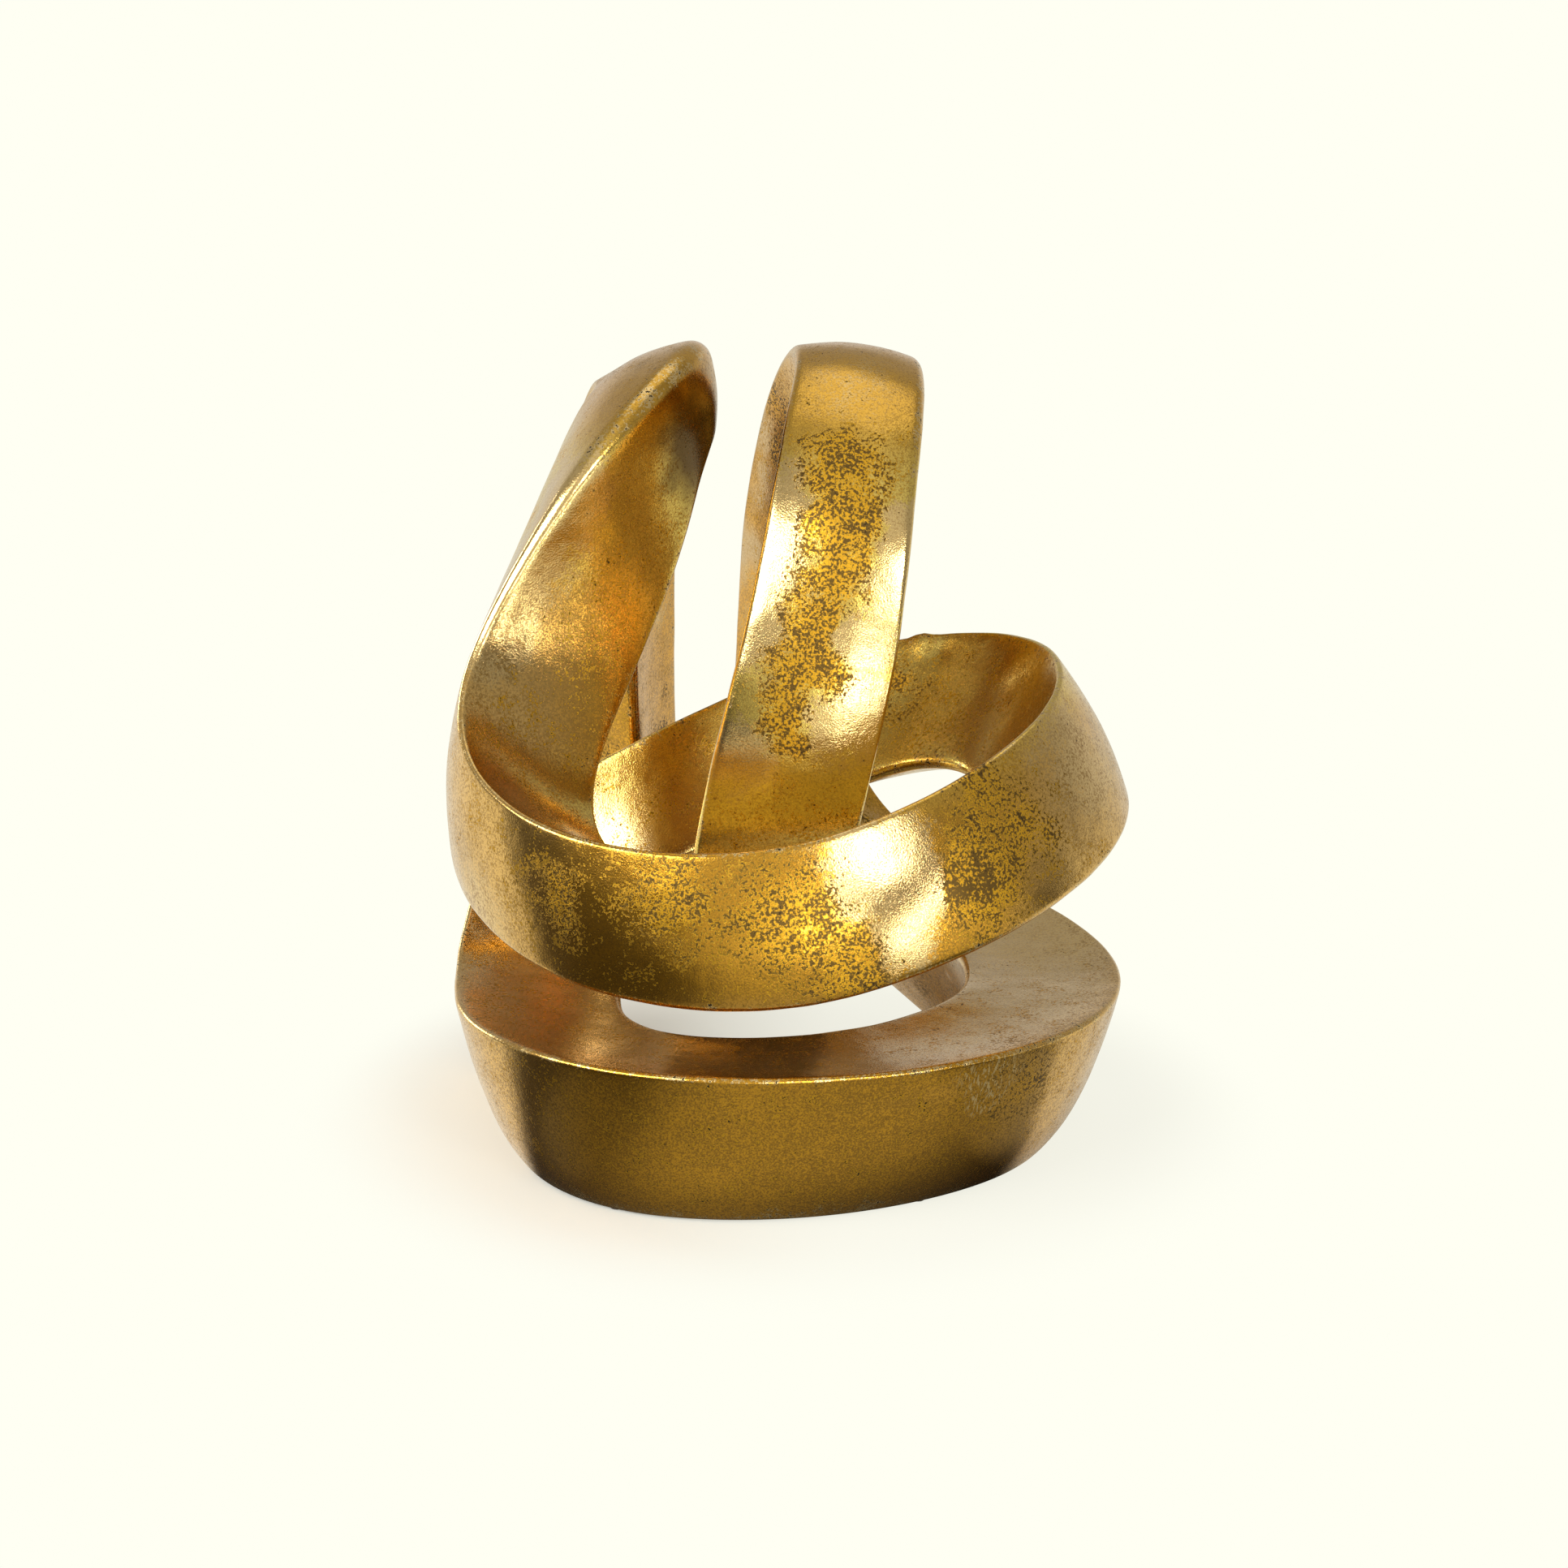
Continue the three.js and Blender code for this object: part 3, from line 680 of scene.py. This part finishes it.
# painted shade: the mirrored glow dims under the sculpture
mirrorGlow = mirrorGlow * distance.rise(*floorLook["under"])
glow = seen * (1.0 - lit) + mirrored * mirrorGlow
# painted shade: for mirrored rays the floor ahead of the back edge turns dark
tone = (mirrored * (1.0 - back)).blended(floorLook["pale"], floorLook["dark"])
matt = addNode(floorTree, "ShaderNodeBsdfDiffuse", {}, {"Color": tone})
glowing = addNode(floorTree, "ShaderNodeEmission", {}, {"Color": floorLook["cream"], "Strength": 1.0})
mixed = addNode(floorTree, "ShaderNodeMixShader", {}, {0: glow, 1: matt, 2: glowing})
result = floorTree.nodes.new("ShaderNodeOutputMaterial")
feed(floorTree, result.inputs["Surface"], mixed)
floor.data.materials.append(paleFloor)

surround = {
    "cream": (1.0, 1.0, 0.895, 1), "room": (1.0, 0.98, 0.94, 1),
    "front": 0.72, "side": 0.25, "right": 0.42, "back": 0.72, "high": 0.42,
    "frontWide": (0.22, 0.55), "frontFrom": (0.0, 0.3), "backFrom": (0.2, 0.8), "rightFrom": (0.80, 0.95),
    "highFrom": (0.10, 0.45),
}
world = bpy.data.worlds.new("studio")
bpy.context.scene.world = world
world.use_nodes = True
worldTree = world.node_tree
worldTree.nodes.clear()
way = addNode(worldTree, "ShaderNodeTexCoord", {}, {}, out="Generated")
worldSeen = seenAndMirrored(worldTree)[0]
wayAcross, wayBack, wayUp = way.part(0), way.part(1), way.part(2)
frontPart = 1.0 - wayAcross.maths("ABSOLUTE", wayAcross).rise(*surround["frontWide"])
frontPart = frontPart * (0.0 - wayBack).rise(*surround["frontFrom"])
backPart, rightPart = wayBack.rise(*surround["backFrom"]), wayAcross.rise(*surround["rightFrom"])
level = surround["side"]
for share, name in ((frontPart, "front"), (backPart, "back"), (rightPart, "right")):
    level = level + share * (surround[name] - surround["side"])
highPart = wayUp.rise(*surround["highFrom"]) * (1.0 - frontPart)
level = level + highPart * (surround["high"] - level)
brightness = worldSeen + (1.0 - worldSeen) * level
roomColour = worldSeen.blended(surround["room"], surround["cream"])
sky = addNode(worldTree, "ShaderNodeBackground", {}, {"Color": roomColour, "Strength": brightness})
worldResult = worldTree.nodes.new("ShaderNodeOutputWorld")
feed(worldTree, worldResult.inputs["Surface"], sky)
print("floor and surround made")


# Soft boxes

softBoxes = {          # middle, spot it faces, width, height, roll in degrees and brightness
    "leftLong": ((-0.826, -0.694, 0.67), (0.0, 0.0, 0.15), 1.00, 0.42, 0, 10.0),
    "rightHigh": ((0.469, -1.072, 0.499), (0.02, -0.10, 0.13), 0.30, 0.24, 0, 10.0),
    "rightStrip": ((0.262, -0.372, 0.093), (0.041, -0.105, 0.110), 0.010, 0.18, -37, 22.0),
    "frontLow": ((0.165, -0.83, 0.105), (0.02, -0.04, 0.16), 0.11, 0.18, 0, 9.0),
    "leftBack": ((-0.90, 0.60, 0.36), (0.0, 0.0, 0.13), 0.34, 0.28, 0, 8.0),
    "overhead": ((0.09, 0.25, 1.40), (0.0, 0.0, 0.13), 0.90, 0.90, 0, 0.7),
}
for name, (spot, aim, wide, tall, roll, bright) in softBoxes.items():
    turn = (Vector(aim) - Vector(spot)).to_track_quat("-Z", "Y")
    turn = turn @ Quaternion((0, 0, 1), math.radians(roll))
    bpy.ops.object.select_all(action="DESELECT")
    bpy.ops.object.light_add(type="AREA", location=spot, rotation=turn.to_euler())
    lamp = bpy.context.view_layer.objects.active
    lamp.name = name
    lamp.data.shape = "RECTANGLE"
    lamp.data.size = wide
    lamp.data.size_y = tall
    lamp.data.energy = math.pi * bright * wide * tall
    lamp.visible_camera = False
print("soft boxes made")


# Camera

cameraSet = {
    "place": (-0.0013, -1.0660, 0.4242), "aim": (-0.0013, -0.0086, 0.121), "lens": 74, "sensor": 36,
}
lookFrom, lookAt = Vector(cameraSet["place"]), Vector(cameraSet["aim"])
lookTurn = (lookAt - lookFrom).to_track_quat("-Z", "Y")
bpy.ops.object.camera_add(location=lookFrom, rotation=lookTurn.to_euler())
camera = bpy.context.view_layer.objects.active
camera.data.lens = cameraSet["lens"]
camera.data.sensor_width = cameraSet["sensor"]
bpy.context.scene.camera = camera
bpy.context.scene.view_settings.view_transform = "Standard"
print("camera set")
